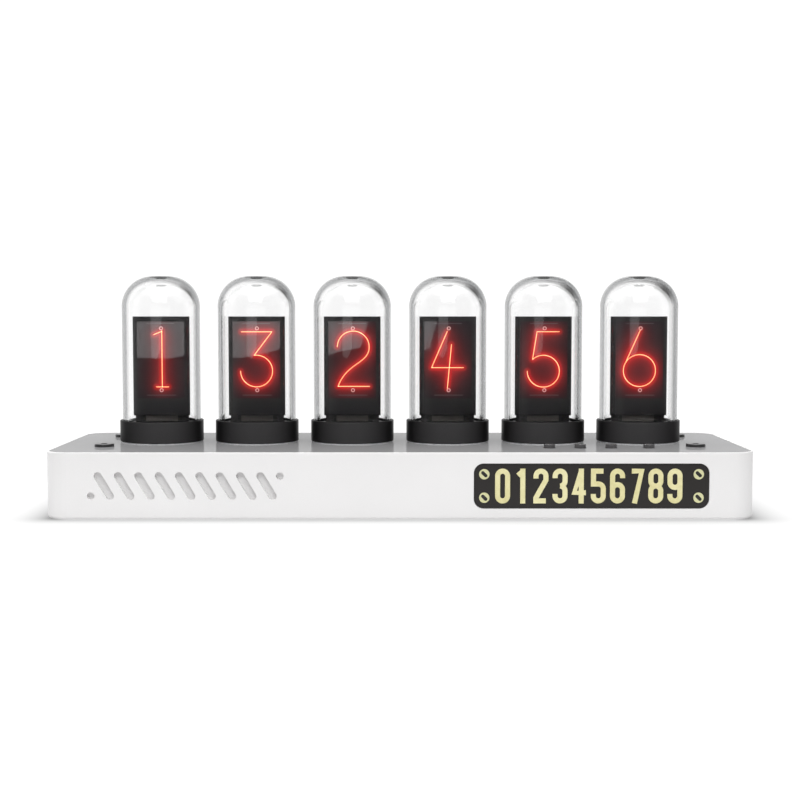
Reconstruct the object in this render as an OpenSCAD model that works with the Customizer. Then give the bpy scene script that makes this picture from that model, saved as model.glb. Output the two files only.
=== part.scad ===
// Tube clock: six small displays under clear domes, on a low desk housing with four push buttons.
// X runs across the front, Y runs to the back and Z runs up, in millimetres.
// The origin is on the table, under the middle of the housing.

/* [Housing] */
// Width of the housing, left to right
body_w = 209; // [205:1:225]
// Depth of the housing, front to back
body_d = 67; // [66:1:76]
// Height of the housing from its lower edge to the top panel
body_h = 19.7; // [19.2:0.1:24]
// Corner radius of the housing, seen from above
corner_r = 7; // [5:0.5:10]
// Thickness of the side walls
wall = 2.5; // [2.2:0.1:3]
// Thickness of the housing floor
floor_t = 2.5; // [2.2:0.1:3]
// Thickness of the lip around the top panel
lip_t = 0.6; // [0.5:0.1:0.9]
// Radius of the rounded lower edge
lower_edge_r = 0.8; // [0.4:0.1:1.2]
// Radius of the rounded upper edge of the lip
upper_edge_r = 0.3; // [0.2:0.05:0.4]
// Thickness of the top panel
panel_t = 2; // [1.6:0.1:2.4]

/* [Feet] */
// Diameter of a rubber foot
foot_d = 10; // [8:0.5:12]
// How far a foot stands below the housing
foot_proud = 0.5; // [0.4:0.1:2]
// How deep a foot sits in the housing floor
foot_sunk = 1; // [0.8:0.1:1.2]
// Distance of a foot's centre from the outer side faces
foot_inset = 13; // [11:0.5:16]

/* [Tubes] */
// Distance between neighbouring tubes
tube_pitch = 30; // [29:0.5:31]
// Distance of the tube line behind the front face
tube_set_back = 35; // [34:0.5:36]
// Height of the collar's top above the panel
collar_h = 7; // [6.6:0.1:8]
// Thickness of the collar's rim around the dome
collar_wall = 0.75; // [0.7:0.05:1.2]
// Thickness of the collar's floor
collar_floor_t = 2; // [1.8:0.1:2.4]
// Radius of the collar's rounded outer edges
collar_edge_r = 0.3; // [0.1:0.05:0.4]
// Thickness of the clear ring under the collar
ring_t = 0.4; // [0.3:0.1:0.8]
// Diameter of the collar's spigot in the panel
spigot_d = 18; // [17.5:0.1:18.5]
// Diameter of the light port through the collar
light_port_d = 5.5; // [4:0.1:5.6]

/* [Domes] */
// Outer diameter of a dome
dome_d = 24.3; // [24:0.1:25]
// Height of a dome's top above the panel
dome_h = 52; // [48:0.5:60]
// Wall thickness of a dome
dome_wall = 1.8; // [1.4:0.1:2]
// Thickness of a dome's top
dome_top_t = 2.3; // [2:0.1:3]
// Radius of the round shoulder of a dome
dome_shoulder_r = 9.6; // [7:0.1:10]
// Diameter of the plug in a dome's top
plug_d = 3.4; // [3:0.1:4.4]
// Thickness of the plug
plug_t = 0.6; // [0.5:0.1:1]

/* [Displays] */
// Width of a display
display_w = 17.6; // [17:0.1:17.8]
// Height of a display
display_h = 31; // [29:0.5:33]
// Thickness of a display
display_t = 1.6; // [1.4:0.1:1.8]
// Height of a display's lower edge above the collar
display_lift = 1.4; // [1:0.1:2]
// Distance of a display's back behind the tube axis, negative to the front
display_back_y = -0.3; // [-0.5:0.1:-0.1]
// Width of the board that carries a display
carrier_w = 16.8; // [16.4:0.1:17]
// Thickness of the board that carries a display
carrier_t = 1.2; // [1:0.1:1.4]

/* [Buttons] */
// Diameter of a push button
button_d = 3.4; // [3:0.1:3.5]
// Height of a button above the panel
button_proud = 1.2; // [1:0.1:2.5]
// How far a button travels when it is pushed
button_travel = 0.3; // [0.2:0.05:0.35]
// Distance of the power button from the right side face
power_side = 29.5; // [27:0.5:36]
// Distance from the power button to the next one
power_gap = 11.4; // [10:0.1:12]
// Distance between the other three buttons
button_pitch = 9.3; // [8.5:0.1:9.5]
// Radius of a button's rounded upper edge
button_edge_r = 0.3; // [0.1:0.05:0.5]
// Distance of the button line behind the front face
button_set_back = 14; // [13:0.5:15]

/* [Panel screws] */
// Distance of a screw from the side face
screw_side = 14.5; // [13:0.1:17]
// Distance between the front and back screws
screw_depth = 33; // [31:0.5:35]
// Diameter of a screw head
screw_head_d = 5.9; // [5.5:0.1:6.5]
// Height of a screw head above the panel
screw_head_h = 0.9; // [0.8:0.1:1.6]
// Radius of the rounded upper edge of a screw head
screw_edge_r = 0.3; // [0.1:0.05:0.5]
// Diameter of a screw's shank
screw_d = 3; // [2.5:0.1:3.2]
// Length of a screw's shank
screw_l = 14; // [12:0.5:14]

/* [Front slots] */
// Number of slanted slots
slot_count = 9; // [5:1:9]
// Distance between neighbouring slots
slot_pitch = 5.95; // [5:0.05:6]
// Width of a slot
slot_w = 2.4; // [1.6:0.1:2.6]
// Length of a slot between the centres of its round ends
slot_l = 6.8; // [5:0.1:8]
// Lean of a slot away from upright, in degrees
slot_lean = 31; // [15:1:35]
// Depth of a slot in the front wall
slot_depth = 1.5; // [0.8:0.1:1.5]
// Distance of the first slot from the left side face
slot_side = 17.9; // [17:0.1:24]
// Diameter of the round dot at each end of the row
dot_d = 2.2; // [1.6:0.1:2.4]
// Distance of a dot from the end of the slot beside it
dot_gap = 5.6; // [5:0.1:6]

/* [Name plate] */
// Width of the plate
plate_w = 68.7; // [60:0.1:72]
// Height of the plate
plate_h = 13.1; // [11:0.1:14]
// Thickness of the plate, which lies in a pocket of the front wall
plate_t = 1.2; // [1:0.1:1.2]
// Corner radius of the plate
plate_r = 2.8; // [1:0.1:4]
// Distance of the plate from the right side face
plate_side = 14.15; // [12:0.05:20]
// How far the plate's face lies behind the front face
plate_sink = 0.3; // [0.2:0.1:0.5]
// Diameter of a plate screw's head
plate_screw_d = 3.05; // [2.6:0.05:3.2]
// Distance of a plate screw from the plate's side edge
plate_screw_side = 3; // [2.6:0.1:3.4]
// Distance of a plate screw from the plate's upper or lower edge
plate_screw_edge = 3.1; // [2.6:0.1:3.4]

/* [Hidden] */
$fn = 64;

// Overlap used where one cut must pass a face
slack = 0.2;
// Gap around a piece that is put in place and stays there
seat_gap = 0.1;
// Gap around a screw or a piece that passes through a hole
pass_gap = 0.2;
// Gap around a button where its switch guides it
guide_gap = 0.08;
// Gap around a button where it passes the panel
button_gap = 0.3;

// Number of tubes and of contacts on each
tube_count = 6;
pin_count = 8;
pin_pitch = 2;
pin_w = 0.5;

// Sizes of the main board and the space above it
board_t = 1.6;
board_gap = 4;
board_edge_gap = 0.7;
board_side_gap = 5;
board_front_margin = 6;
board_r = 2;

// Heights above the table
z_body = foot_proud;
z_floor = z_body + floor_t;
z_top = z_body + body_h;
z_panel = z_top - panel_t;
z_board_top = z_panel - board_gap;
z_board = z_board_top - board_t;
z_collar_foot = z_top + ring_t;
z_seat = z_collar_foot + collar_floor_t;
z_collar = z_top + collar_h;
z_dome = z_top + dome_h;
z_display = z_collar + display_lift;
z_middle = z_body + body_h / 2;

// Places in plan
front_y = -body_d / 2;
back_y = body_d / 2;
tube_y = front_y + tube_set_back;
button_y = front_y + button_set_back;
foot_x = body_w / 2 - foot_inset;
foot_y = body_d / 2 - foot_inset;
board_front = button_y - board_front_margin;
board_back = back_y - wall - board_edge_gap;
board_w = body_w - 2 * (wall + board_side_gap);
power_x = body_w / 2 - power_side;
third_x = power_x - power_gap;
button_places = [third_x - 2 * button_pitch, third_x - button_pitch, third_x, power_x];
screw_places = [
    for (sx = [-1, 1], sy = [-1, 1])
        [sx * (body_w / 2 - screw_side), tube_y + sy * screw_depth / 2]
];

// Bosses and spacers around the panel screws
boss_wall = 2;
spacer_wall = 1.5;
bore_spare = 0.7;

// Tube sizes that follow the dome
bore_r = dome_d / 2 + seat_gap;
collar_r = bore_r + collar_wall;
ring_inset = 0.3;
ring_r = collar_r - ring_inset;

// Foot of the display carrier in the collar
strip_h = 2;
strip_w = 2;
strip_l = pin_count * pin_pitch;
carrier_lift = 0.4;
carrier_front_y = display_back_y;
carrier_back_y = display_back_y + carrier_t;
pin_y = carrier_back_y + pin_w / 2;
z_carrier = z_seat + carrier_lift;
z_strip = z_carrier - strip_h;
carrier_top_margin = 0.6;
carrier_h = z_display + display_h - carrier_top_margin - z_carrier;
pin_lap = 2.8;
pedestal_side_t = 1;
pedestal_front_t = 1.9;
pedestal_back_t = 2.5;
pedestal_drop = 0.6;
pedestal_w = carrier_w + 2 * pedestal_side_t;
pedestal_front_y = carrier_front_y - pedestal_front_t;
pedestal_back_y = carrier_back_y + pedestal_back_t;
pin_slot_inset = 0.2;

// Sockets and lights under the tubes
socket_h = 3.6;
socket_w = 2.4;
socket_end_t = 0.3;
socket_l = strip_l + 2 * socket_end_t;
socket_hole = 0.7;
socket_floor = 0.5;
pin_rise = 0.8;
led_w = 5;
led_h = 1.6;
led_y = -5.4;

// Push button switches
switch_w = 6;
switch_h = 3.5;
switch_floor = 1;
switch_roof = 0.5;
switch_cavity_d = 5;
flange_d = 4.6;
flange_t = 0.8;
flange_play = 0.05;
nub_d = 2;
disc_d = 4.4;
disc_t = 0.1;
disc_rise = 0.2;
z_cavity = z_board_top + switch_floor;
z_roof = z_board_top + switch_h - switch_roof;

// Power inlet
usb_w = 8.94;
usb_h = 3.16;
usb_l = 7.35;
usb_wall = 0.3;
usb_back_t = 1.1;
usb_recess = 0.8;
usb_opening_gap = 0.25;
tongue_w = 6.69;
tongue_t = 0.7;
tongue_l = 4.4;
usb_z = z_board - usb_h / 2;
usb_y = back_y - usb_recess;

// Parts under the main board
module_size = [18, 25.5, 0.8];
module_at = [-45, 6];
shield_size = [15.8, 17.6, 2.3];
shield_shift = -3;
cell_d = 12.5;
cell_t = 2;
holder_w = 14.6;
holder_floor = 0.8;
cell_at = [45, 6];
clip_w = 4;
clip_t = 0.25;
can_d = 6.3;
can_h = 5.4;
inlet_parts_gap = 8.3;
inlet_parts_y = board_back - inlet_parts_gap;
can_places = [[-13, inlet_parts_y], [13, inlet_parts_y]];
regulator_size = [6.5, 3.5, 1.6];
regulator_at = [24, inlet_parts_y];
clock_chip_size = [10.3, 7.5, 2.4];
clock_chip_at = [22, 6];

// Plate and its screws
plate_x = body_w / 2 - plate_side - plate_w / 2;
plate_y = front_y + plate_sink;
plate_head_t = 0.5;
plate_shank_d = 1.6;
plate_slot = [2.2, 1, 0.3];
plate_places = [
    for (sx = [-1, 1], sz = [-1, 1])
        [
            plate_x + sx * (plate_w / 2 - plate_screw_side),
            z_middle + sz * (plate_h / 2 - plate_screw_edge)
        ]
];

// Small parts on the back of a display carrier: size, then place above the display's lower edge
carrier_bits = [
    [[2.9, 1, 1.3], [-3.5, 8]],
    [[1.6, 0.5, 0.8], [1.5, 8]],
    [[1.6, 0.5, 0.8], [4.6, 8]],
    [[2, 1, 1.25], [0, 13]]
];

// Names of every node, with one of each tube piece for every tube
tube_numbers = [for (i = [1:tube_count]) i];
tube_pieces = ["collar", "dome", "display", "carrier"];
button_names = ["button_left", "button_mode", "button_right", "button_power"];

// Shared shapes

// Centre of one tube along X
function tube_x(i) = (i - (tube_count + 1) / 2) * tube_pitch;

// Flat rounded rectangle about the origin
module rounded_rect(w, d, r) {
    square([w - 2 * r, d], center = true);
    square([w, d - 2 * r], center = true);
    for (sx = [-1, 1], sy = [-1, 1])
        translate([sx * (w / 2 - r), sy * (d / 2 - r)]) circle(r);
}

// Flat slot with round ends, upright, with its length between the end centres
module slot_outline(w, l) {
    square([w, l], center = true);
    for (s = [-1, 1])
        translate([0, s * l / 2]) circle(d = w);
}

// What a rounded edge takes off a square corner at the origin
module corner_cut(r) {
    difference() {
        translate([-slack, -slack]) square(r + slack);
        translate([r, r]) circle(r);
    }
}

// Half section of a round bar with one rounded upper shoulder
module shoulder_profile(r, low, high, shoulder) {
    translate([0, low]) square([r, high - shoulder - low]);
    translate([0, low]) square([r - shoulder, high - low]);
    intersection() {
        translate([r - shoulder, high - shoulder]) circle(shoulder);
        translate([0, low]) square([r, high - low]);
    }
}

// Box centred in plan on a point, with its lower face at that point
module block(size, at) {
    translate([at.x - size.x / 2, at.y - size.y / 2, at.z]) cube(size);
}

// Round rod along Y between two places
module rod_y(d, from, to) {
    translate([0, to, 0]) rotate([90, 0, 0]) cylinder(d = d, h = to - from);
}

// Flat shape stood up to face the front, between two places along Y
module upright(from, to) {
    translate([0, to, 0]) rotate([90, 0, 0]) linear_extrude(to - from) children();
}

// Flat profile, with X zero at the outer face, carried around a rounded rectangle
module around(w, d, r) {
    for (i = [0:3]) {
        half = i % 2 == 0 ? w / 2 : d / 2;
        run = i % 2 == 0 ? d : w;
        rotate([0, 0, 90 * i]) {
            translate([half, run / 2 - r, 0])
                rotate([90, 0, 0]) linear_extrude(run - 2 * r) children();
            translate([half - r, run / 2 - r, 0])
                rotate_extrude(angle = 90) translate([r, 0]) children();
        }
    }
}

// Children at every tube
module at_tubes() {
    for (i = tube_numbers)
        translate([tube_x(i), tube_y, 0]) children();
}

// Children at every panel screw
module at_screws() {
    for (p = screw_places)
        translate([p.x, p.y, 0]) children();
}

// Children at every button
module at_buttons() {
    for (x = button_places)
        translate([x, button_y, 0]) children();
}

// Children at every plate screw
module at_plate_screws() {
    for (p = plate_places)
        translate([p.x, 0, p.y]) children();
}

// Housing

// Section of the side wall, with the rebate for the panel and two rounded edges
module wall_profile() {
    difference() {
        translate([-wall, z_body]) square([wall, body_h]);
        translate([-wall - slack, z_panel]) square([wall - lip_t + slack, panel_t + slack]);
        translate([0, z_body]) mirror([1, 0]) corner_cut(lower_edge_r);
        translate([0, z_top]) mirror([1, 0]) mirror([0, 1]) corner_cut(upper_edge_r);
    }
}

// Row of slanted slots, with a round dot before and after it
module front_slots() {
    step_x = slot_l * sin(slot_lean);
    step_z = slot_l * cos(slot_lean);
    first = slot_side - body_w / 2;
    last = first + (slot_count - 1) * slot_pitch;
    upright(front_y - slack, front_y + slot_depth) {
        for (i = [0:slot_count - 1])
            translate([first + i * slot_pitch, z_middle])
                rotate(slot_lean) slot_outline(slot_w, slot_l);
        translate([first - dot_gap + step_x / 2, z_middle - step_z / 2]) circle(d = dot_d);
        translate([last + dot_gap - step_x / 2, z_middle + step_z / 2]) circle(d = dot_d);
    }
}

// Pocket and screw holes of the name plate
module plate_pocket() {
    translate([plate_x, 0, z_middle])
        upright(front_y - slack, plate_y + plate_t)
            rounded_rect(plate_w + 2 * seat_gap, plate_h + 2 * seat_gap, plate_r + seat_gap);
    at_plate_screws()
        rod_y(plate_shank_d + 2 * seat_gap, front_y, front_y + wall + slack);
}

// Opening for the power inlet in the back wall
module usb_opening() {
    high = usb_h + 2 * usb_opening_gap;
    translate([0, 0, usb_z])
        upright(back_y - wall - slack, back_y + slack)
            rotate(90) slot_outline(high, usb_w - usb_h);
}

module housing() {
    bore_deep = screw_l - (z_top - z_board) + bore_spare;
    color("whitesmoke")
    difference() {
        union() {
            around(body_w, body_d, corner_r) wall_profile();
            translate([0, 0, z_body])
                linear_extrude(floor_t) rounded_rect(body_w - wall, body_d - wall, corner_r - wall / 2);
            at_screws()
                translate([0, 0, z_floor - slack])
                    cylinder(d = screw_d + 2 * boss_wall, h = z_board - z_floor + slack);
        }
        at_screws()
            translate([0, 0, z_board - bore_deep])
                cylinder(d = screw_d + 2 * seat_gap, h = bore_deep + slack);
        for (sx = [-1, 1], sy = [-1, 1])
            translate([sx * foot_x, sy * foot_y, z_body - slack])
                cylinder(d = foot_d + 2 * seat_gap, h = foot_sunk + slack);
        front_slots();
        plate_pocket();
        usb_opening();
    }
}

module top_panel() {
    inset = lip_t + seat_gap;
    color("slategray")
    translate([0, 0, z_panel])
        linear_extrude(panel_t)
            difference() {
                rounded_rect(body_w - 2 * inset, body_d - 2 * inset, corner_r - inset);
                at_tubes() circle(d = spigot_d + 2 * seat_gap);
                at_screws() circle(d = screw_d + 2 * pass_gap);
                at_buttons() circle(d = button_d + 2 * button_gap);
            }
}

module feet() {
    color("dimgray")
    for (sx = [-1, 1], sy = [-1, 1])
        translate([sx * foot_x, sy * foot_y, 0]) cylinder(d = foot_d, h = foot_proud + foot_sunk);
}

module panel_screws() {
    key_w = 2;
    key_share = 0.6;
    key_deep = screw_head_h * key_share;
    z_head = z_top + screw_head_h;
    color("black")
    at_screws()
        difference() {
            union() {
                rotate_extrude() shoulder_profile(screw_head_d / 2, z_top, z_head, screw_edge_r);
                translate([0, 0, z_top - screw_l]) cylinder(d = screw_d, h = screw_l + slack);
            }
            translate([0, 0, z_head - key_deep])
                cylinder(d = key_w / cos(30), h = key_deep + slack, $fn = 6);
        }
}

module board_spacers() {
    color("silver")
    at_screws()
        translate([0, 0, z_board_top])
            linear_extrude(board_gap)
                difference() {
                    circle(d = screw_d + 2 * spacer_wall);
                    circle(d = screw_d + 2 * pass_gap);
                }
}

// Name plate

module name_plate() {
    color("#343032")
    difference() {
        translate([plate_x, 0, z_middle])
            upright(plate_y, plate_y + plate_t) rounded_rect(plate_w, plate_h, plate_r);
        at_plate_screws() {
            rod_y(plate_screw_d + 2 * seat_gap, plate_y - slack, plate_y + plate_head_t);
            rod_y(plate_shank_d + 2 * seat_gap, plate_y, plate_y + plate_t + slack);
        }
    }
}

module plate_screws() {
    color("goldenrod")
    at_plate_screws()
        difference() {
            union() {
                rod_y(plate_screw_d, plate_y, plate_y + plate_head_t);
                rod_y(plate_shank_d, plate_y + plate_head_t / 2, front_y + wall);
            }
            upright(plate_y - slack, plate_y + plate_slot.z)
                rotate(45) slot_outline(plate_slot.y, plate_slot.x - plate_slot.y);
        }
}

// Main board and the parts on it

module main_board() {
    deep = board_back - board_front;
    color("darkgreen")
    translate([0, 0, z_board])
        linear_extrude(board_t)
            difference() {
                translate([0, (board_front + board_back) / 2]) rounded_rect(board_w, deep, board_r);
                at_screws() circle(d = screw_d + 2 * pass_gap);
            }
}

module controller_board() {
    color("darkslategray")
    block(module_size, [module_at.x, module_at.y, z_board - module_size.z]);
}

module controller_shield() {
    z = z_board - module_size.z - shield_size.z;
    color("silver")
    block(shield_size, [module_at.x, module_at.y + shield_shift, z]);
}

module usb_shell() {
    inner = usb_h - 2 * usb_wall;
    color("silver")
    translate([0, 0, usb_z])
        difference() {
            upright(usb_y - usb_l, usb_y) rotate(90) slot_outline(usb_h, usb_w - usb_h);
            upright(usb_y - usb_l + usb_back_t, usb_y + slack)
                rotate(90) slot_outline(inner, usb_w - usb_h);
        }
}

module usb_tongue() {
    root = usb_y - usb_l + usb_back_t;
    color("black")
    translate([0, 0, usb_z])
        upright(root, root + tongue_l) square([tongue_w, tongue_t], center = true);
}

module coin_cell() {
    color("silver")
    translate([cell_at.x, cell_at.y, z_board - holder_floor - cell_t]) cylinder(d = cell_d, h = cell_t);
}

module cell_holder() {
    high = holder_floor + cell_t;
    color("black")
    difference() {
        block([holder_w, holder_w, high], [cell_at.x, cell_at.y, z_board - high]);
        translate([cell_at.x, cell_at.y, z_board - high - slack])
            cylinder(d = cell_d + 2 * seat_gap, h = cell_t + slack);
    }
}

module cell_clip() {
    color("gold")
    block([holder_w, clip_w, clip_t], [cell_at.x, cell_at.y, z_board - holder_floor - cell_t - clip_t]);
}

module capacitors() {
    color("silver")
    for (p = can_places)
        translate([p.x, p.y, z_board - can_h]) cylinder(d = can_d, h = can_h);
}

module voltage_regulator() {
    color("black")
    block(regulator_size, [regulator_at.x, regulator_at.y, z_board - regulator_size.z]);
}

module clock_chip() {
    color("black")
    block(clock_chip_size, [clock_chip_at.x, clock_chip_at.y, z_board - clock_chip_size.z]);
}

module tube_sockets() {
    color("black")
    at_tubes()
        difference() {
            block([socket_l, socket_w, socket_h], [0, pin_y, z_board_top]);
            at_pins()
                block([socket_hole, socket_hole, socket_h], [0, 0, z_board_top + socket_floor]);
        }
}

module backlight_leds() {
    color("white")
    at_tubes()
        block([led_w, led_w, led_h], [0, led_y, z_board_top]);
}

// Push buttons

module switch_bodies() {
    color("black")
    at_buttons()
        difference() {
            block([switch_w, switch_w, switch_h], [0, 0, z_board_top]);
            translate([0, 0, z_cavity]) cylinder(d = switch_cavity_d, h = z_roof - z_cavity);
            translate([0, 0, z_roof - slack])
                cylinder(d = button_d + 2 * guide_gap, h = switch_roof + 2 * slack);
        }
}

// Domed metal disc under a button, part of a thin ball shell
module snap_disc() {
    ball_r = (pow(disc_d / 2, 2) + pow(disc_rise, 2)) / (2 * disc_rise);
    translate([0, 0, z_cavity + disc_rise - ball_r])
        rotate_extrude()
            intersection() {
                difference() {
                    circle(ball_r + disc_t, $fn = 256);
                    circle(ball_r, $fn = 256);
                }
                translate([0, ball_r - disc_rise]) square([disc_d / 2, 2 * disc_rise]);
            }
}

module snap_discs() {
    color("gold")
    at_buttons() snap_disc();
}

// One button: its stem, the flange that keeps it in and the nub that meets the disc
module button(place) {
    z_flange = z_roof - flange_play - flange_t;
    z_nub = z_cavity + disc_rise + disc_t + button_travel + flange_play;
    color("black")
    translate([button_places[place], button_y, 0]) {
        rotate_extrude() shoulder_profile(button_d / 2, z_flange, z_top + button_proud, button_edge_r);
        translate([0, 0, z_flange]) cylinder(d = flange_d, h = flange_t);
        translate([0, 0, z_nub]) cylinder(d = nub_d, h = z_flange - z_nub + slack);
    }
}

// Tubes

// Children at every contact of one tube
module at_pins() {
    for (k = [0:pin_count - 1])
        translate([(k - (pin_count - 1) / 2) * pin_pitch, pin_y, 0]) children();
}

// Half section of the cup, with rounded outer edges
module cup_profile() {
    difference() {
        translate([0, z_collar_foot]) square([collar_r, z_collar - z_collar_foot]);
        translate([0, z_seat]) square([bore_r, collar_h]);
        translate([collar_r, z_collar_foot]) mirror([1, 0]) corner_cut(collar_edge_r);
        translate([collar_r, z_collar]) mirror([1, 0]) mirror([0, 1]) corner_cut(collar_edge_r);
    }
}

// Cup under a dome: rim, floor, spigot in the panel and the block that holds the carrier
module collar(i) {
    pin_slot = [strip_l - 2 * pin_slot_inset, pin_w + 2 * pass_gap, z_seat];
    pedestal_h = z_collar - pedestal_drop - z_seat;
    pedestal_d = pedestal_back_y - pedestal_front_y;
    pedestal_y = (pedestal_back_y + pedestal_front_y) / 2;
    strip_box = [strip_l + 2 * seat_gap, strip_w + 2 * seat_gap, collar_h];
    carrier_box = [carrier_w + 2 * seat_gap, carrier_t + 2 * seat_gap, collar_h];
    lap_box = [strip_l, pin_w + pass_gap + seat_gap, collar_h];
    carrier_y = (carrier_front_y + carrier_back_y) / 2;
    color("#26262a")
    translate([tube_x(i), tube_y, 0])
        difference() {
            union() {
                rotate_extrude() cup_profile();
                translate([0, 0, z_panel]) cylinder(d = spigot_d, h = z_seat - z_panel);
                block([pedestal_w, pedestal_d, pedestal_h + slack], [0, pedestal_y, z_seat - slack]);
            }
            block(pin_slot, [0, pin_y, z_panel - slack]);
            block(strip_box, [0, pin_y, z_strip]);
            block(carrier_box, [0, carrier_y, z_carrier]);
            block(lap_box, [0, carrier_back_y + lap_box.y / 2, z_carrier]);
            translate([0, led_y, z_panel - slack])
                cylinder(d = light_port_d, h = z_seat - z_panel + 2 * slack);
        }
}

// Clear washers between the collars and the panel, which pass light out under the rim
module light_rings() {
    color("white", 0.6)
    at_tubes()
        translate([0, 0, z_top])
            linear_extrude(ring_t)
                difference() {
                    circle(ring_r);
                    circle(d = spigot_d + 2 * seat_gap);
                }
}

module dome(i) {
    inner_shoulder = dome_shoulder_r - dome_wall;
    inner_top = z_dome - dome_top_t;
    color("white", 0.3)
    translate([tube_x(i), tube_y, 0])
        rotate_extrude()
            difference() {
                shoulder_profile(dome_d / 2, z_seat, z_dome, dome_shoulder_r);
                shoulder_profile(dome_d / 2 - dome_wall, z_seat - slack, inner_top, inner_shoulder);
                translate([0, z_dome - plug_t - seat_gap])
                    square([plug_d / 2 + seat_gap, plug_t + seat_gap + slack]);
            }
}

module dome_plugs() {
    color("dimgray")
    at_tubes()
        translate([0, 0, z_dome - plug_t - seat_gap]) cylinder(d = plug_d, h = plug_t);
}

// Display with its backlight frame behind a slightly smaller front glass
module display(i) {
    glass_t = 0.6;
    glass_inset = 0.2;
    frame_y = display_back_y - (display_t - glass_t) / 2;
    glass_y = display_back_y - display_t + glass_t / 2;
    glass_size = [display_w - 2 * glass_inset, glass_t, display_h - 2 * glass_inset];
    color("#141416")
    translate([tube_x(i), tube_y, 0]) {
        block([display_w, display_t - glass_t, display_h], [0, frame_y, z_display]);
        block(glass_size, [0, glass_y, z_display + glass_inset]);
    }
}

module carrier(i) {
    color("#1c1c20")
    translate([tube_x(i), tube_y, 0])
        block([carrier_w, carrier_t, carrier_h], [0, (carrier_front_y + carrier_back_y) / 2, z_carrier]);
}

// Flat leads from each display to the front of its carrier
module display_flexes() {
    flex_w = 10;
    flex_t = 0.15;
    flex_h = display_lift + pedestal_drop - seat_gap;
    color("darkorange")
    at_tubes()
        block([flex_w, flex_t, flex_h], [0, carrier_front_y - flex_t / 2, z_display - flex_h]);
}

module carrier_parts() {
    color("black")
    at_tubes()
        for (bit = carrier_bits)
            block(bit[0], [bit[1].x, carrier_back_y + bit[0].y / 2, z_display + bit[1].y]);
}

module pin_strips() {
    color("black")
    at_tubes()
        difference() {
            block([strip_l, strip_w, strip_h], [0, pin_y, z_strip]);
            at_pins()
                block([pin_w, pin_w, strip_h + 2 * slack], [0, 0, z_strip - slack]);
        }
}

module contact_pins() {
    low = z_board_top + pin_rise;
    color("gold")
    at_tubes()
        at_pins()
            block([pin_w, pin_w, z_carrier + pin_lap - low], [0, 0, low]);
}

// Drawing

housing();
top_panel();
feet();
panel_screws();
board_spacers();
name_plate();
plate_screws();
main_board();
controller_board();
controller_shield();
usb_shell();
usb_tongue();
coin_cell();
cell_holder();
cell_clip();
capacitors();
voltage_regulator();
clock_chip();
switch_bodies();
snap_discs();
tube_sockets();
backlight_leds();
light_rings();
dome_plugs();
pin_strips();
contact_pins();
display_flexes();
carrier_parts();
for (b = [0:len(button_names) - 1])
    button(b);
for (i = tube_numbers) {
    collar(i);
    dome(i);
    display(i);
    carrier(i);
}
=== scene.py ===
"""Looks of the tube clock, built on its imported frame.

The housing, panel, collars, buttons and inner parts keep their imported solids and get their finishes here. The
clear domes, the pictures on the displays, the numbers on the plate and the inlet's contacts are new pieces,
worked out as surfaces. Everything is in metres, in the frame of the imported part.
"""

import logging
import math
from dataclasses import dataclass, field
from enum import Enum
from functools import reduce
from typing import Any, ClassVar, Sequence

import bpy
import numpy as np
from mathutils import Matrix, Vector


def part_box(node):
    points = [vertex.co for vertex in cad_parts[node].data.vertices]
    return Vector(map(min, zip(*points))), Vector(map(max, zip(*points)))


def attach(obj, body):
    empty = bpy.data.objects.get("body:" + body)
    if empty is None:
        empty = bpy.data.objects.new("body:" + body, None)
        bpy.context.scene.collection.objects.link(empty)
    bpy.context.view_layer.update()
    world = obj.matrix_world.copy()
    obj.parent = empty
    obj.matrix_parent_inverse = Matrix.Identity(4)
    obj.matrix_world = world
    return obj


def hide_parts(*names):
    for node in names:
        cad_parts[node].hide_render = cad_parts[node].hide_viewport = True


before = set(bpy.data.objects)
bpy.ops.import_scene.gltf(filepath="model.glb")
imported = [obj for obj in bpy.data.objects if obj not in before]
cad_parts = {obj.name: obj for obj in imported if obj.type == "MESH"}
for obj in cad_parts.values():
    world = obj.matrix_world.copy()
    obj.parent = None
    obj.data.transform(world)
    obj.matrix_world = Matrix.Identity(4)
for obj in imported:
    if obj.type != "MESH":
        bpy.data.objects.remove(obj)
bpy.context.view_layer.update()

LOG = logging.getLogger("tube_clock")
MM = 0.001
CLOCK = "clock"
SMOOTH_ANGLE = math.radians(35)
UNIT = (0.0, 1.0)

Pair = tuple[float, float]
Triple = tuple[float, float, float]
Colour = tuple[float, float, float, float]
Socket = bpy.types.NodeSocket


def srgb(red: int, green: int, blue: int) -> Colour:
    """Linear colour of three display values.

    Each value is scaled to 0..1 and put through the display curve: divided by 12.92 where it is small, and
    otherwise ((v + 0.055) / 1.055) to the power 2.4.

    Args:
        red: Red from 0 to 255.
        green: Green from 0 to 255.
        blue: Blue from 0 to 255.

    Returns:
        Linear red, green and blue, with an alpha of one.
    """
    share = np.array([red, green, blue]) / 255
    curve = np.where(share <= 0.04045, share / 12.92, ((share + 0.055) / 1.055) ** 2.4)
    return (float(curve[0]), float(curve[1]), float(curve[2]), 1.0)


WHITE = srgb(255, 255, 255)
BLACK = srgb(0, 0, 0)
DUST_GREY = srgb(176, 172, 166)


# Surfaces

SAME_POINT = 1e-7
MITRE_LIMIT = 1.1
CROWN_SHARE = 0.86
BEVEL_SHARE = 0.6
LIGHT_STEP = 0.15


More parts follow.
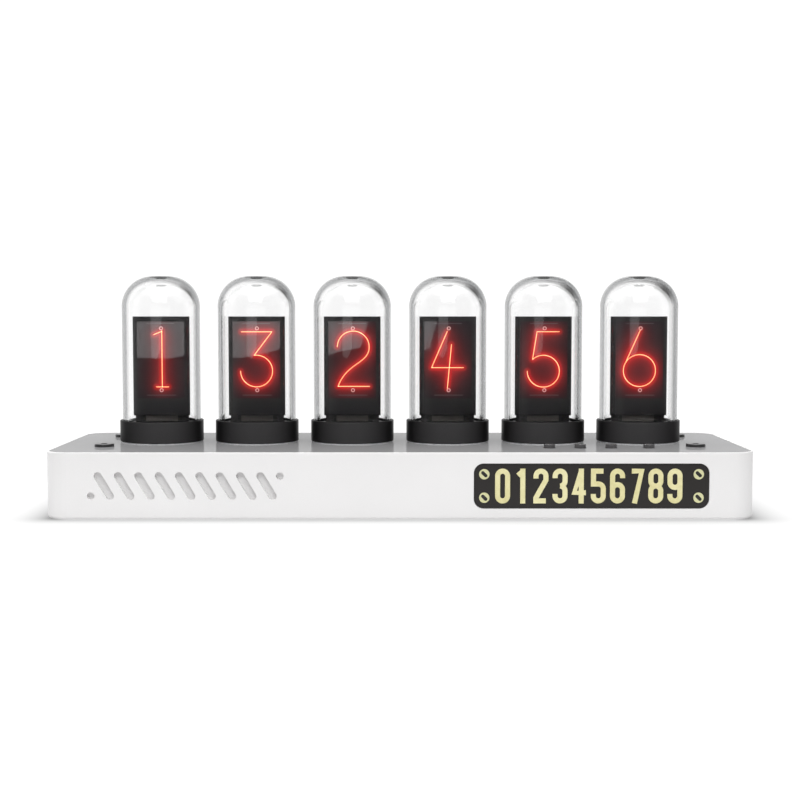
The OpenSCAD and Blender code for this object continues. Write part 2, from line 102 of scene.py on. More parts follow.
def grid_quads(rows: int, cols: int, wrap_rows: bool = False, wrap_cols: bool = False) -> np.ndarray:
    """Quads of a grid of points that are numbered row by row.

    Quad (i, j) joins point (i, j) to (i + 1, j), (i + 1, j + 1) and (i, j + 1), with the last row or column
    joined to the first where it wraps.

    Args:
        rows: Number of rows of points.
        cols: Number of points in a row.
        wrap_rows: Whether the last row joins the first.
        wrap_cols: Whether the last column joins the first.

    Returns:
        Array of four point numbers for each quad.
    """
    i = np.arange(rows if wrap_rows else rows - 1)[:, None]
    j = np.arange(cols if wrap_cols else cols - 1)[None, :]
    down, across = (i + 1) % rows, (j + 1) % cols
    corners = [i * cols + j, down * cols + j, down * cols + across, i * cols + across]
    return np.stack(np.broadcast_arrays(*corners), axis=-1).reshape(-1, 4)


def lathe_surface(profile: np.ndarray, around: int) -> tuple[np.ndarray, list[list[int]]]:
    """Closed surface of a profile that starts and ends on the axis.

    Point (i, k) of the grid is (r_i cos a_k, r_i sin a_k, z_i), with a_k in equal steps round the circle. The two
    ends of the profile are single points, joined to the first and last rows by fans of triangles.

    Args:
        profile: Array of radius and height from the upper axis point, outside first, to the lower axis point.
        around: Number of steps round the axis.

    Returns:
        Points and faces, which point outwards.
    """
    angle = np.linspace(0, 2 * np.pi, around, endpoint=False)
    r, z = profile[1:-1, 0:1], profile[1:-1, 1:2]
    rows = len(r)
    grid = np.stack(np.broadcast_arrays(r * np.cos(angle), r * np.sin(angle), z), axis=-1).reshape(-1, 3)
    poles = np.array([[0, 0, profile[0, 1]], [0, 0, profile[-1, 1]]])
    step = np.arange(around)
    after = (step + 1) % around
    last = (rows - 1) * around
    first_fan = np.stack([np.full(around, rows * around), step, after], axis=-1)
    last_fan = np.stack([np.full(around, rows * around + 1), last + after, last + step], axis=-1)
    quads = grid_quads(rows, around, wrap_cols=True)
    return np.vstack([grid, poles]), quads.tolist() + first_fan.tolist() + last_fan.tolist()


def ribbon_surface(path: np.ndarray, half_width: float, rise: float, closed: bool) -> tuple[np.ndarray, list]:
    """Low ribbon with chamfered edges along a flat path.

    The section is a closed loop of six points: two on the ground, two part of the way up and two on top. It is
    carried along the path on the mitre line of each point, which is the sum of the two side normals there, set to
    a length of one over the cosine of half the turn and held back at sharp turns.

    Args:
        path: Array of flat points along the middle of the ribbon.
        half_width: Half the ribbon's width.
        rise: Height of the ribbon above the ground.
        closed: Whether the path returns to its start.

    Returns:
        Points as along X, along Y and height, and faces.
    """
    ahead = np.roll(path, -1, axis=0) - path
    back = path - np.roll(path, 1, axis=0)
    if not closed:
        ahead[-1], back[0] = back[-1], ahead[0]
    ahead /= np.linalg.norm(ahead, axis=1, keepdims=True)
    back /= np.linalg.norm(back, axis=1, keepdims=True)
    turn = np.array([[0.0, 1.0], [-1.0, 0.0]])
    mitre = ahead @ turn + back @ turn
    mitre *= np.minimum(2 / np.sum(mitre**2, axis=1), MITRE_LIMIT)[:, None]
    across = np.array([-1, -1, -CROWN_SHARE, CROWN_SHARE, 1, 1]) * half_width
    height = np.array([0, BEVEL_SHARE, 1, 1, BEVEL_SHARE, 0]) * rise
    flat = path[:, None, :] + mitre[:, None, :] * across[None, :, None]
    points = np.concatenate([flat, np.broadcast_to(height[None, :, None], (*flat.shape[:2], 1))], axis=-1)
    rows, cols = flat.shape[:2]
    faces = grid_quads(rows, cols, wrap_rows=closed, wrap_cols=True).tolist()
    if not closed:
        faces += [list(range(cols)), list(range((rows - 1) * cols, rows * cols))[::-1]]
    return points.reshape(-1, 3), faces


def joined(parts: Sequence[tuple[np.ndarray, list[list[int]]]]) -> tuple[np.ndarray, list[list[int]]]:
    """Puts several surfaces into one array of points and one list of faces.

    Args:
        parts: Points and faces of each surface.

    Returns:
        All points, and all faces with their point numbers moved on.
    """
    starts = np.cumsum([0] + [len(points) for points, _ in parts]).tolist()
    faces = [[corner + start for corner in face] for (_, part), start in zip(parts, starts) for face in part]
    return np.vstack([points for points, _ in parts]), faces


def signed_volume(points: np.ndarray, faces: Sequence[Sequence[int]]) -> float:
    """Volume inside a closed surface, below zero where its faces point inwards.

    Each face is cut into triangles from its first corner, and each triangle adds a sixth of the triple product
    of its corners.

    Args:
        points: Array of points.
        faces: Point numbers of each face.

    Returns:
        The signed volume.
    """
    fans = [np.array([(f[0], f[k], f[k + 1]) for k in range(1, len(f) - 1)]) for f in faces]
    a, b, c = (points[np.concatenate(fans)[:, k]] for k in range(3))
    return float(np.sum(a * np.cross(b, c)) / 6)


def arc(centre: Pair, radius: float, start: float, end: float, steps: int = 24) -> np.ndarray:
    """Points on a circle: centre + radius (cos a, sin a), with a in equal steps.

    Args:
        centre: Centre of the circle.
        radius: Radius of the circle.
        start: First angle, in degrees.
        end: Last angle, in degrees.
        steps: Number of equal steps.

    Returns:
        Array of flat points.
    """
    a = np.radians(np.linspace(start, end, steps + 1))
    return np.stack([centre[0] + radius * np.cos(a), centre[1] + radius * np.sin(a)], axis=-1)


def sweep_bend(corners: Sequence[Pair], steps: int = 24) -> np.ndarray:
    """Points on a cubic bend: the four corners weighted by the terms of ((1 - t) + t) cubed.

    Args:
        corners: Start, two guiding corners and end.
        steps: Number of equal steps of t.

    Returns:
        Array of flat points.
    """
    t = np.linspace(0, 1, steps + 1)[:, None]
    weights = np.hstack([(1 - t) ** 3, 3 * t * (1 - t) ** 2, 3 * t**2 * (1 - t), t**3])
    return weights @ np.array(corners, float)


def chain(*runs: Any) -> np.ndarray:
    """Joins runs of flat points into one path and drops points that repeat the one before."""
    path = np.vstack([np.atleast_2d(np.array(run, float)) for run in runs])
    steps = np.linalg.norm(np.diff(path, axis=0), axis=1)
    return path[np.concatenate([[True], steps > SAME_POINT])]


def gap_to_paths(points: np.ndarray, paths: Sequence[np.ndarray]) -> np.ndarray:
    """Distance from each flat point to the nearest of several paths.

    For each straight run the point is dropped onto the run's line, held between the run's two ends, and the
    distance to that foot is taken. The least over all runs is kept.

    Args:
        points: Array of flat points.
        paths: Arrays of flat points along each path.

    Returns:
        Array of one distance for each point.
    """
    start = np.vstack([p[:-1] for p in paths])
    run = np.vstack([np.diff(p, axis=0) for p in paths])
    offset = points[:, None, :] - start[None]
    along = np.clip(np.sum(offset * run, axis=-1) / np.sum(run**2, axis=-1), 0, 1)
    foot = offset - along[..., None] * run
    return np.sqrt(np.min(np.sum(foot**2, axis=-1), axis=1))


def spread_light(points: np.ndarray, paths: Sequence[np.ndarray], shares: Sequence[Pair]) -> np.ndarray:
    """Light that spreads to flat points from glowing paths.

    Each path is walked in short equal steps. For each reach r, every step s adds s / (2 r) times e to the power of
    minus its distance over r, which sums to one beside a long straight path. The sums are weighted by their shares.

    Args:
        points: Array of flat points.
        paths: Arrays of flat points along each path.
        shares: Each reach, with its share of the light.

    Returns:
        Array of one value for each point.
    """
    total = np.zeros(len(points))
    for path in paths:
        length = np.concatenate([[0.0], np.cumsum(np.linalg.norm(np.diff(path, axis=0), axis=1))])
        steps = max(round(length[-1] / LIGHT_STEP), 1)
        along = (np.arange(steps) + 0.5) * length[-1] / steps
        places = np.stack([np.interp(along, length, path[:, axis]) for axis in (0, 1)], axis=-1)
        away = np.linalg.norm(points[:, None, :] - places[None], axis=-1)
        for reach, share in shares:
            total += share * np.sum(np.exp(-away / reach), axis=1) * length[-1] / steps / (2 * reach)
    return total


def add_piece(
    name: str, points: np.ndarray, faces: Sequence[Sequence[int]], slot: str, finish: "Finish", smooth: bool = True
) -> bpy.types.Object:
    """Makes one piece that rides on the clock.

    Args:
        name: Name of the piece.
        points: Array of points in metres.
        faces: Point numbers of each face.
        slot: Material slot, not used.
        finish: Finish of the piece.
        smooth: Whether gentle edges are shaded smooth.

    Returns:
        The new object.
    """
    mesh = bpy.data.meshes.new(name)
    mesh.from_pydata(points.tolist(), [], [list(f) for f in faces])
    mesh.polygons.foreach_set("use_smooth", np.full(len(mesh.polygons), smooth))
    if smooth:
        mesh.set_sharp_from_angle(angle=SMOOTH_ANGLE)
    mesh.update()
    piece = bpy.data.objects.new(name, mesh)
    bpy.context.scene.collection.objects.link(piece)
    mesh.materials.append(finish.material())
    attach(piece, CLOCK)
    LOG.info("piece %s: %d faces", name, len(mesh.polygons))
    return piece


def carry(piece: bpy.types.Object, **values: np.ndarray) -> None:
    """Gives each point of a piece a value for its finish to read.

    Args:
        piece: The piece.
        values: Array of one value for each point, by name.
    """
    for name, value in values.items():
        piece.data.attributes.new(name, "FLOAT", "POINT").data.foreach_set("value", value.astype(np.float32))


# Shader nodes


class Graph:
    """Short ways to add and link nodes in one node tree."""

    def __init__(self, tree: bpy.types.NodeTree) -> None:
        """Takes the tree that the nodes go into."""
        self.tree = tree

    def add(self, kind: str, inputs: dict[Any, Any] | None = None, **settings: Any) -> bpy.types.Node:
        """Adds one node.

        Args:
            kind: Type name of the node.
            inputs: Values or sockets for its inputs, by name or number.
            settings: Other properties of the node.

        Returns:
            The new node.
        """
        node = self.tree.nodes.new(kind)
        for key, value in settings.items():
            setattr(node, key, value)
        for key, value in (inputs or {}).items():
            if isinstance(value, Socket):
                self.tree.links.new(value, node.inputs[key])
            else:
                node.inputs[key].default_value = value
        return node

    def object_place(self) -> Socket:
        """Place of the shaded point in the object's own frame."""
        return self.add("ShaderNodeTexCoord").outputs["Object"]

    def noise(self, scale: Any, detail: float = 4.0, place: Socket | None = None) -> Socket:
        """Noise value from 0 to 1, with the given scale per metre."""
        inputs = {"Vector": place or self.object_place(), "Scale": scale, "Detail": detail, "Roughness": 0.6}
        return self.add("ShaderNodeTexNoise", inputs).outputs[0]

    def sum(self, operation: str, *values: Any) -> Socket:
        """Result of one arithmetic operation."""
        inputs = dict(enumerate(values))
        return self.add("ShaderNodeMath", inputs, operation=operation).outputs[0]

    def span(self, value: Socket, source: Pair, target: tuple[Any, Any]) -> Socket:
        """Value carried from one range to another, held at the ends."""
        inputs = {0: value, 1: source[0], 2: source[1], 3: target[0], 4: target[1]}
        return self.add("ShaderNodeMapRange", inputs).outputs[0]

    def blend(self, factor: Socket, first: Any, second: Any) -> Socket:
        """Colour between two colours."""
        inputs = {0: factor, 6: first, 7: second}
        return self.add("ShaderNodeMix", inputs, data_type="RGBA").outputs[2]

    def ramp(self, factor: Socket, stops: Sequence[tuple[float, Colour]]) -> Socket:
        """Colour from a row of stops.

        Args:
            factor: Value from 0 to 1.
            stops: Place and colour of each stop, in order.

        Returns:
            The colour socket.
        """
        node = self.add("ShaderNodeValToRGB", {"Fac": factor})
        row = node.color_ramp.elements
        while len(row) < len(stops):
            row.new(1.0)
        for element, (place, colour) in zip(row, stops):
            element.position = place
            element.color = colour
        return node.outputs[0]

    def bump(self, height: Socket, depth: float) -> Socket:
        """Normal bent by a height, with the depth of its full range in metres."""
        inputs = {"Height": height, "Distance": depth, "Strength": 1.0}
        return self.add("ShaderNodeBump", inputs).outputs[0]


class Effect:
    """A shader effect that several finishes share: a node group with named sockets, built once."""

    title: ClassVar[str]
    takes: ClassVar[dict[str, float]]
    gives: ClassVar[tuple[str, ...]]

    def fill(self, graph: Graph, taken: dict[str, Socket]) -> dict[str, Socket]:
        """Builds the effect's nodes.

        Args:
            graph: The group's own graph.
            taken: Sockets of the group's inputs, by name.

        Returns:
            A socket for each output, by name.
        """
        raise NotImplementedError

    def group(self) -> bpy.types.NodeTree:
        """The node group, built on first use."""
        found = bpy.data.node_groups.get(self.title)
        if found:
            return found
        tree = bpy.data.node_groups.new(self.title, "ShaderNodeTree")
        for name, start in self.takes.items():
            socket = tree.interface.new_socket(name=name, in_out="INPUT", socket_type="NodeSocketFloat")
            socket.default_value = start
        for name in self.gives:
            tree.interface.new_socket(name=name, in_out="OUTPUT", socket_type="NodeSocketFloat")
        graph = Graph(tree)
        entry = graph.add("NodeGroupInput")
        made = self.fill(graph, {name: entry.outputs[name] for name in self.takes})
        graph.add("NodeGroupOutput", dict(made))
        return tree

    def place(self, graph: Graph, **values: float) -> dict[str, Socket]:
        """Puts the effect into a material.

        Args:
            graph: Graph of the material.
            values: Input values by name, with the others at their start.

        Returns:
            The effect's output sockets, by name.
        """
        node = graph.add("ShaderNodeGroup", node_tree=self.group())
        for name, value in values.items():
            node.inputs[name].default_value = value
        return {name: node.outputs[name] for name in self.gives}


class MouldGrain(Effect):
    """Fine grain of a moulded or sprayed surface, with slow changes of tone."""

    title = "mould_grain"
    takes = {"Scale": 2500.0, "Drift": 30.0}
    gives = ("Height", "Tone")

    def fill(self, graph: Graph, taken: dict[str, Socket]) -> dict[str, Socket]:
        """Grain is fine noise, and tone is fine noise mixed with slow noise.

        Args:
            graph: The group's own graph.
            taken: Scale of the grain and of the drift, per metre.

        Returns:
            The grain's height and the tone, from 0 to 1.
        """
        fine = graph.noise(taken["Scale"], 5.0)
        slow = graph.noise(taken["Drift"], 3.0)
        tone = graph.sum("MULTIPLY_ADD", fine, 0.4, graph.sum("MULTIPLY", slow, 0.6))
        return {"Height": fine, "Tone": graph.span(tone, (0.3, 0.7), UNIT)}


class SettledDust(Effect):
    """Specks and a thin film of dust on faces that look up."""

    title = "settled_dust"
    takes = {"Amount": 0.2}
    gives = ("Mask",)

    def fill(self, graph: Graph, taken: dict[str, Socket]) -> dict[str, Socket]:
        """The mask is the upward part of the normal times noise, times the amount.

        Args:
            graph: The group's own graph.
            taken: Amount of dust.

        Returns:
            The dust's mask, from 0 to 1.
        """
        normal = graph.add("ShaderNodeNewGeometry").outputs["Normal"]
        up = graph.add("ShaderNodeSeparateXYZ", {0: normal}).outputs[2]
        facing = graph.span(up, (0.5, 1.0), UNIT)
        specks = graph.span(graph.noise(4200.0, 2.0), (0.62, 0.8), UNIT)
        film = graph.span(graph.noise(60.0, 5.0), (0.35, 0.8), (0.0, 0.6))
        cover = graph.sum("MULTIPLY", graph.sum("MAXIMUM", specks, film), facing)
        return {"Mask": graph.sum("MULTIPLY", cover, taken["Amount"])}


class FineScuffs(Effect):
    """Hair-fine lines from handling or from a brushing wheel."""

    title = "fine_scuffs"
    takes = {"Across": 3500.0, "Along": 60.0}
    gives = ("Mask",)

    def fill(self, graph: Graph, taken: dict[str, Socket]) -> dict[str, Socket]:
        """Noise is stretched far more along X than across it, and its crests are kept.

        Args:
            graph: The group's own graph.
            taken: Scale across and along the lines, per metre.

        Returns:
            The mask of the lines, from 0 to 1.
        """
        scale = graph.add("ShaderNodeCombineXYZ", {0: taken["Along"], 1: taken["Across"], 2: taken["Across"]})
        place = graph.add("ShaderNodeVectorMath", {0: graph.object_place(), 1: scale.outputs[0]}, operation="MULTIPLY")
        lines = graph.noise(1.0, 3.0, place.outputs[0])
        return {"Mask": graph.span(lines, (0.35, 0.75), UNIT)}


class RecessPaintedShade(Effect):
    """Painted shade inside a box, as in slots and engraved places."""

    title = "recess_painted_shade"
    takes = {"Left": -1.0, "Near": -1.0, "Low": -1.0, "Right": 1.0, "Far": 1.0, "High": 1.0}
    gives = ("Mask",)

    def fill(self, graph: Graph, taken: dict[str, Socket]) -> dict[str, Socket]:
        """The mask rises from 0 to 1 over the first 0.2 mm inside the nearest side of the box.

        Args:
            graph: The group's own graph.
            taken: The box's six sides, in metres.

        Returns:
            The painted shade's mask.
        """
        place = graph.add("ShaderNodeSeparateXYZ", {0: graph.object_place()}).outputs
        past = [graph.sum("SUBTRACT", axis, taken[name]) for axis, name in zip(place, ("Left", "Near", "Low"))]
        left = [graph.sum("SUBTRACT", taken[name], axis) for axis, name in zip(place, ("Right", "Far", "High"))]
        least = reduce(lambda first, second: graph.sum("MINIMUM", first, second), past + left)
        return {"Mask": graph.span(least, (0.0, 0.0002), UNIT)}


class BoardTraces(Effect):
    """Copper lines under the solder mask of a circuit board, and bare pads."""

    title = "board_traces"
    takes = {"Pitch": 1100.0}
    gives = ("Lines", "Pads")

    def fill(self, graph: Graph, taken: dict[str, Socket]) -> dict[str, Socket]:
        """Lines are the edges of square cells, and pads are the cores of a few of them.

        Args:
            graph: The group's own graph.
            taken: Number of cells per metre.

        Returns:
            Masks of the lines and of the pads.
        """
        inputs = {"Vector": graph.object_place(), "Scale": taken["Pitch"], "Randomness": 0.55}
        cells = graph.add("ShaderNodeTexVoronoi", inputs, feature="F1", distance="CHEBYCHEV")
        lines = graph.span(cells.outputs["Distance"], (0.40, 0.46), UNIT)
        core = graph.span(cells.outputs["Distance"], (0.16, 0.2), (1.0, 0.0))
        chance = graph.add("ShaderNodeSeparateColor", {0: cells.outputs["Color"]}).outputs[0]
        return {"Lines": lines, "Pads": graph.sum("MULTIPLY", core, graph.span(chance, (0.8, 0.82), UNIT))}


# Finishes


@dataclass(frozen=True)
class Finish:
    """One finish of the clock. Its material is made on first use."""

    made: ClassVar[dict[str, bpy.types.Material]] = {}
    name: str

    def paint(self, graph: Graph) -> dict[str, Any]:
        """Works out the inputs of the material's shader.

        Args:
            graph: Graph of the material.

        Returns:
            A number, colour or socket for each input, by name.
        """
        raise NotImplementedError

    def material(self) -> bpy.types.Material:
        """The finish's material, made on first use."""
        if self.name in self.made:
            return self.made[self.name]
        material = bpy.data.materials.new(f"{self.name}_finish")
        material.use_nodes = True
        material.node_tree.nodes.clear()
        graph = Graph(material.node_tree)
        shader = graph.add("ShaderNodeBsdfPrincipled", self.paint(graph))
        graph.add("ShaderNodeOutputMaterial", {"Surface": shader.outputs[0]})
        self.made[self.name] = material
        return material

    def dress(self, *nodes: str) -> None:
        """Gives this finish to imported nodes.

        Args:
            nodes: Names of the nodes.
        """
        for name in nodes:
            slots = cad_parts[name].data.materials
            slots.clear()
            slots.append(self.material())
            LOG.info("node %s: %s", name, self.name)


@dataclass(frozen=True)
class PaintedRecess:
    """Painted shade of the surfaces inside a box."""

    colour: Colour
    low: Triple
    high: Triple

    def with_painted_shade(self, graph: Graph, base: Socket) -> Socket:
        """Mixes the painted shade into a colour.

        Args:
            graph: Graph of the material.
            base: Colour outside the recess.

        Returns:
            The mixed colour.
        """
        sides = dict(zip(RecessPaintedShade.takes, self.low + self.high))
        return graph.blend(RecessPaintedShade().place(graph, **sides)["Mask"], base, self.colour)


@dataclass(frozen=True)
class Moulded(Finish):
    """Plastic, paint or rubber with a fine grain, slow tone changes and a little dust."""

    colour: Colour
    shade: Colour
    roughness: Pair
    grain: float = 3000.0
    depth: float = 0.000002
    dust: float = 0.05
    gloss: float = 1.45
    # Painted shade inside a recess, where shade falls.
    painted_recess: PaintedRecess | None = None
    # Painted shade on sides seen at a slant, and the facing range over which it comes in.
    side: Colour | None = None
    painted_side_span: Pair = (0.02, 0.5)

    def paint(self, graph: Graph) -> dict[str, Any]:
        """Mixes two tones by the grain, paints shade into recesses and onto slanting sides, and lays dust over all.

        The grain also bends the normal.

        Args:
            graph: Graph of the material.

        Returns:
            The shader's inputs.
        """
        grain = MouldGrain().place(graph, Scale=self.grain)
        dust = SettledDust().place(graph, Amount=self.dust)["Mask"]
        base = graph.blend(grain["Tone"], self.shade, self.colour)
        # Painted shade in recesses.
        if self.painted_recess:
            base = self.painted_recess.with_painted_shade(graph, base)
        # Painted shade on slanting sides: the colour turns to the side colour as the surface is seen edge on.
        if self.side:
            slant = graph.add("ShaderNodeLayerWeight", {"Blend": 0.5}).outputs["Facing"]
            base = graph.blend(graph.span(slant, self.painted_side_span, UNIT), base, self.side)
        return {
            "Base Color": graph.blend(dust, base, DUST_GREY),
            "Roughness": graph.span(grain["Tone"], UNIT, self.roughness),
            "Normal": graph.bump(grain["Height"], self.depth),
            "IOR": self.gloss,
        }


@dataclass(frozen=True)
class Metal(Finish):
    """Plated, brushed or blackened metal with fine scuffs."""

    colour: Colour
    shade: Colour
    roughness: Pair
    across: float = 3500.0
    depth: float = 0.000004

    def paint(self, graph: Graph) -> dict[str, Any]:
        """Mixes two tones by the scuffs, which also change the gloss and the normal.

        Args:
            graph: Graph of the material.

        Returns:
            The shader's inputs.
        """
        scuffs = FineScuffs().place(graph, Across=self.across)["Mask"]
        tone = MouldGrain().place(graph, Scale=900.0, Drift=120.0)["Tone"]
        worn = graph.sum("MULTIPLY_ADD", scuffs, 0.5, graph.sum("MULTIPLY", tone, 0.5))
        return {
            "Base Color": graph.blend(worn, self.shade, self.colour),
            "Roughness": graph.span(worn, UNIT, self.roughness),
            "Normal": graph.bump(scuffs, self.depth),
            "Metallic": 1.0,
        }


@dataclass(frozen=True)
class Board(Finish):
    """Circuit board: solder mask over copper lines, with bare pads."""

    mask: Colour
    copper: Colour
    pads: Colour
    roughness: Pair = (0.32, 0.5)
    depth: float = 0.00003

    def paint(self, graph: Graph) -> dict[str, Any]:
        """Colours lines and pads, which also stand a little proud.

        Args:
            graph: Graph of the material.

        Returns:
            The shader's inputs.
        """
        traces = BoardTraces().place(graph)
        tone = MouldGrain().place(graph, Scale=1500.0, Drift=80.0)["Tone"]
        lined = graph.blend(traces["Lines"], self.mask, self.copper)
        height = graph.sum("MAXIMUM", traces["Lines"], traces["Pads"])
        return {
            "Base Color": graph.blend(traces["Pads"], lined, self.pads),
            "Roughness": graph.span(tone, UNIT, self.roughness),
            "Metallic": traces["Pads"],
            "Normal": graph.bump(height, self.depth),
        }


@dataclass(frozen=True)
class PolishedPanel(Finish):
    """Grey panel under a thin gloss coat, with fine wipe marks and a thin film of dust."""

    colour: Colour
    shade: Colour
    roughness: Pair
    coat: float
    dust: Colour = srgb(178, 176, 172)
    depth: float = 0.0000012

    def paint(self, graph: Graph) -> dict[str, Any]:
        """Wipe marks change the gloss, and dust lightens the colour.

        Args:
            graph: Graph of the material.

        Returns:
            The shader's inputs.
        """
        grain = MouldGrain().place(graph, Scale=3200.0, Drift=22.0)
        wipes = FineScuffs().place(graph, Across=900.0, Along=35.0)["Mask"]
        dust = SettledDust().place(graph, Amount=0.12)["Mask"]
        gloss = graph.sum("MULTIPLY_ADD", wipes, 0.4, graph.sum("MULTIPLY", grain["Tone"], 0.6))
        base = graph.blend(grain["Tone"], self.shade, self.colour)
        return {
            "Base Color": graph.blend(dust, base, self.dust),
            "Roughness": graph.span(gloss, UNIT, self.roughness),
            "Normal": graph.bump(grain["Height"], self.depth),
            "Specular IOR Level": 0.0,
            "Coat Weight": self.coat,
            "Coat Roughness": 0.06,
            "Coat IOR": 1.5,
        }


@dataclass(frozen=True)
class ClearPlastic(Finish):
    """Clear moulded plastic with faint smears, and painted shade where its wall is seen edge on."""

    tint: Colour
    # Colour of the painted shade where the wall is seen edge on.
    edge: Colour
    roughness: Pair
    painted_rim_span: Pair = (0.4, 0.56)
    ior: float = 1.49

    def paint(self, graph: Graph) -> dict[str, Any]:
        """Smears change the gloss and the tint a little, and the outer skin gets painted shade where it is seen edge
        on.

        Args:
            graph: Graph of the material.

        Returns:
            The shader's inputs.
        """
        tone = MouldGrain().place(graph, Scale=300.0, Drift=90.0)["Tone"]
        # Painted shade: the edge colour takes over as the wall is seen edge on, fully on the outer skin and a little
        # inside.
        facing = graph.add("ShaderNodeLayerWeight").outputs["Facing"]
        skin = graph.add("ShaderNodeAttribute", attribute_name="outer_skin").outputs["Fac"]
        painted_rim_mask = graph.sum("MULTIPLY", graph.span(facing, self.painted_rim_span, UNIT), skin)
        clear = graph.blend(tone, self.tint, WHITE)
        return {
            "Base Color": graph.blend(painted_rim_mask, clear, self.edge),
            "Roughness": graph.span(tone, (0.4, 1.0), self.roughness),
            "Transmission Weight": 1.0,
            "IOR": self.ior,
        }


@dataclass(frozen=True)
class Lamp(Finish):
    """Small part that gives off a soft white light."""

    colour: Colour
    light: float

    def paint(self, graph: Graph) -> dict[str, Any]:
        """A fine grain changes the light's colour.

        Args:
            graph: Graph of the material.

        Returns:
            The shader's inputs.
        """
        tone = MouldGrain().place(graph, Scale=5000.0, Drift=500.0)["Tone"]
        glow = graph.blend(tone, self.colour, WHITE)
        return {"Base Color": glow, "Emission Color": glow, "Emission Strength": self.light, "Roughness": 0.5}


@dataclass(frozen=True)
class Paper(Finish):
    """Lit white paper under the clock, with a painted soft shadow round the clock's foot."""

    half: Pair
    corner: float
    colour: Colour = srgb(149, 149, 149)
    # Reach of the painted shadow, and its depth at the front and at the sides.
    fade: float = 0.0062
    depth: Pair = (0.24, 0.58)
    light: float = 0.72
    least_square: float = 1e-9

    def paint(self, graph: Graph) -> dict[str, Any]:
        """The painted shadow is e to the power of minus the distance from the rounded foot over the fade.

        It is multiplied by a depth that grows from the front to the sides with the square of the sideways share.

        Args:
            graph: Graph of the material.

        Returns:
            The shader's inputs.
        """
        x, y, _ = graph.add("ShaderNodeSeparateXYZ", {0: graph.object_place()}).outputs
        beside, before = (
            graph.sum("MAXIMUM", graph.sum("SUBTRACT", graph.sum("ABSOLUTE", axis), half - self.corner), 0.0)
            for axis, half in zip((x, y), self.half)
        )
        wide, deep = (graph.sum("MULTIPLY", part, part) for part in (beside, before))
        square = graph.sum("MAXIMUM", graph.sum("ADD", wide, deep), self.least_square)
        away = graph.sum("MAXIMUM", graph.sum("SUBTRACT", graph.sum("SQRT", square), self.corner), 0.0)
        depth = graph.span(graph.sum("DIVIDE", wide, square), UNIT, self.depth)
        # Painted contact shadow round the foot, darkening both the paper's colour and its glow.
        shade = graph.sum("MULTIPLY", graph.sum("EXPONENT", graph.sum("DIVIDE", away, -self.fade)), depth)
        grain = graph.span(graph.noise(900.0), (0.3, 0.7), (0.0, 0.004))
        cover = graph.sum("ADD", shade, grain)
        return {
            "Base Color": graph.blend(cover, self.colour, BLACK),
            "Emission Color": graph.blend(cover, WHITE, BLACK),
            "Emission Strength": self.light,
            "Roughness": 0.9,
            "Specular IOR Level": 0.0,
        }


@dataclass(frozen=True)
class Picture(Finish):
    """Display film with the picture of a glowing digit.

    The film's points carry their squared distance from the digit's strokes, the light that spreads to them from
    the strokes, and their distance from the eyelets and from two faint lines, in millimetres. Stops turn the
    first into the colour of the strokes.
    """

    reach: float = 1.3
    light: float = 2.2
    halo: Colour = srgb(110, 9, 10)
    line: Colour = srgb(60, 55, 57)
    line_edge: Pair = (0.02, 0.2)
    line_cover: float = 0.8
    mark: Colour = srgb(176, 136, 132)
    mark_edge: Pair = (0.04, 0.17)
    mark_cover: float = 0.95
    glass: tuple[Colour, Colour] = (srgb(72, 70, 73), srgb(78, 76, 79))

    def paint(self, graph: Graph) -> dict[str, Any]:
        """Turns the stroke distance into light, and adds the eyelets, two faint lines and the dark glass.

        Args:
            graph: Graph of the material.

        Returns:
            The shader's inputs.
        """
        squared, halo, marks, lines = (
            graph.add("ShaderNodeAttribute", attribute_name=name).outputs["Fac"]
            for name in ("stroke_gap", "stroke_halo", "mark_gap", "line_gap")
        )
        gap = graph.sum("SQRT", graph.sum("MAXIMUM", squared, 0.0))
        stops = [
            (0.0, srgb(255, 252, 240)),
            (0.055, srgb(255, 218, 140)),
            (0.105, srgb(148, 8, 4)),
            (0.2, srgb(102, 4, 3)),
            (0.36, srgb(92, 4, 3)),
            (0.7, srgb(82, 4, 4)),
            (self.reach, BLACK),
        ]
        core = graph.ramp(graph.sum("DIVIDE", gap, self.reach), [(p / self.reach, c) for p, c in stops])
        spread = graph.blend(halo, BLACK, self.halo)
        added = graph.add("ShaderNodeMix", {0: 1.0, 6: core, 7: spread}, data_type="RGBA", blend_type="ADD")
        lined = graph.blend(graph.span(lines, self.line_edge, (self.line_cover, 0.0)), added.outputs[2], self.line)
        lit = graph.blend(graph.span(marks, self.mark_edge, (self.mark_cover, 0.0)), lined, self.mark)
        tone = MouldGrain().place(graph, Scale=7000.0, Drift=60.0)["Tone"]
        return {
            "Base Color": graph.blend(tone, *self.glass),
            "Roughness": graph.span(tone, UNIT, (0.0, 0.02)),
            "Emission Color": lit,
            "Emission Strength": self.light,
            "IOR": 2.2,
        }


# The floor paper carries a painted soft shadow round the clock's foot.
FLOOR_PAPER = Paper("floor_paper", half=(0.1045, 0.0335), corner=0.007)
# Painted shade on the floors of the slanted slots in the front.
SLOT_PAINTED_SHADE = PaintedRecess(srgb(223, 222, 222), low=(-0.0893, -0.0322, 0.004), high=(-0.0362, -0.0317, 0.017))
# Painted shade, near black, in the slots of the plate's screws.
SCREW_SLOT_PAINTED_SHADE = PaintedRecess(srgb(14, 12, 10), low=(-1.0, -0.0332, -1.0), high=(1.0, -0.0318, 1.0))
WHITE_SHELL = Moulded(
    "white_shell",
    srgb(244, 243, 243),
    srgb(239, 238, 238),
    (0.38, 0.5),
    grain=2600.0,
    depth=0.000006,
    painted_recess=SLOT_PAINTED_SHADE,
)
FOOT_RUBBER = Moulded(
    "foot_rubber", srgb(58, 57, 56), srgb(42, 42, 42), (0.75, 0.9), grain=1800.0, depth=0.00003, dust=0.1
)
